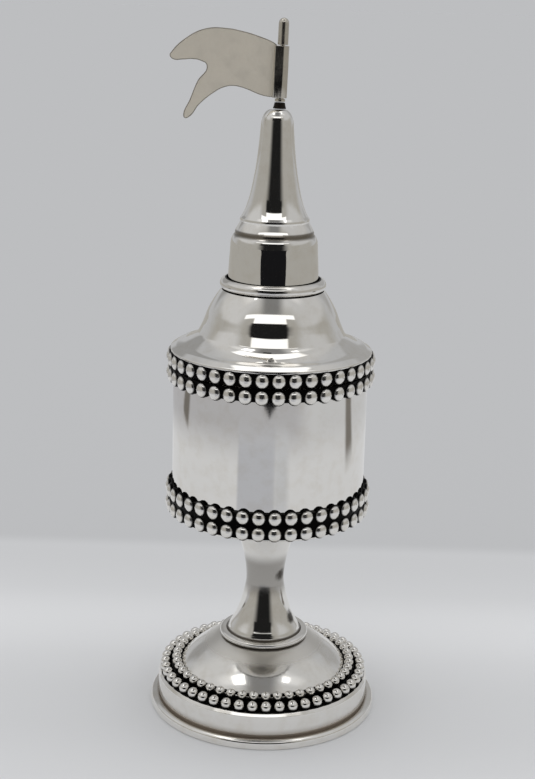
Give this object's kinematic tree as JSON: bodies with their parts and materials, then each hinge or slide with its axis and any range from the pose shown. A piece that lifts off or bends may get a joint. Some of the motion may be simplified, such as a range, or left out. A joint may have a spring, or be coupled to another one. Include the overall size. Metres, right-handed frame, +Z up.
{
  "type": "spice box",
  "caption": "Round silver spice tower: a beaded box on a stem and stepped foot, with a lift-off roofed lid, a turret, a spire and a flag that turns on its pole.",
  "frame": {"origin": "middle of the foot's underside, on the surface that the tower stands on", "axes": "+Z up along the tower's axis, -Y towards the viewer of the picture, -X the way the flag points at rest"},
  "size_m": [0.0538, 0.0538, 0.1603],
  "materials": {
    "polished_silver": "polished silver sheet",
    "oxidised_beads": "polished silver beads with blackened recesses",
    "satin_silver": "satin silver sheet"
  },
  "bodies": {
    "box": {"foot_flange": "polished_silver", "foot_wall": "polished_silver", "foot_dome": "polished_silver", "foot_bead_ring_outer": "oxidised_beads", "foot_bead_ring_inner": "oxidised_beads", "stem_ring": "polished_silver", "stem_bell": "polished_silver", "stem_upper": "polished_silver", "box_floor": "polished_silver", "box_wall": "polished_silver", "base_bead_strip": "oxidised_beads", "mouth_bead_strip": "oxidised_beads"},
    "lid": {"lid_collar": "polished_silver", "lid_bead_strip": "oxidised_beads", "lid_bezel": "polished_silver", "lid_roof": "polished_silver", "turret_drum": "polished_silver", "turret_ring": "polished_silver", "spire_cone": "polished_silver", "pole_collar": "polished_silver", "flagpole": "polished_silver", "pole_cap": "polished_silver"},
    "flag": {"flag": "satin_silver"}
  },
  "joints": [
    {"name": "lid_lift", "type": "slide", "parent": "box", "child": "lid", "axis": [0, 0, 1], "range_m": [0, 0.08]},
    {"name": "flag_turn", "type": "hinge", "parent": "lid", "child": "flag", "pos_m": [0.00035, 0, 0.14085], "axis": [0.0262, 0, 0.9997], "continuous": true}
  ]
}
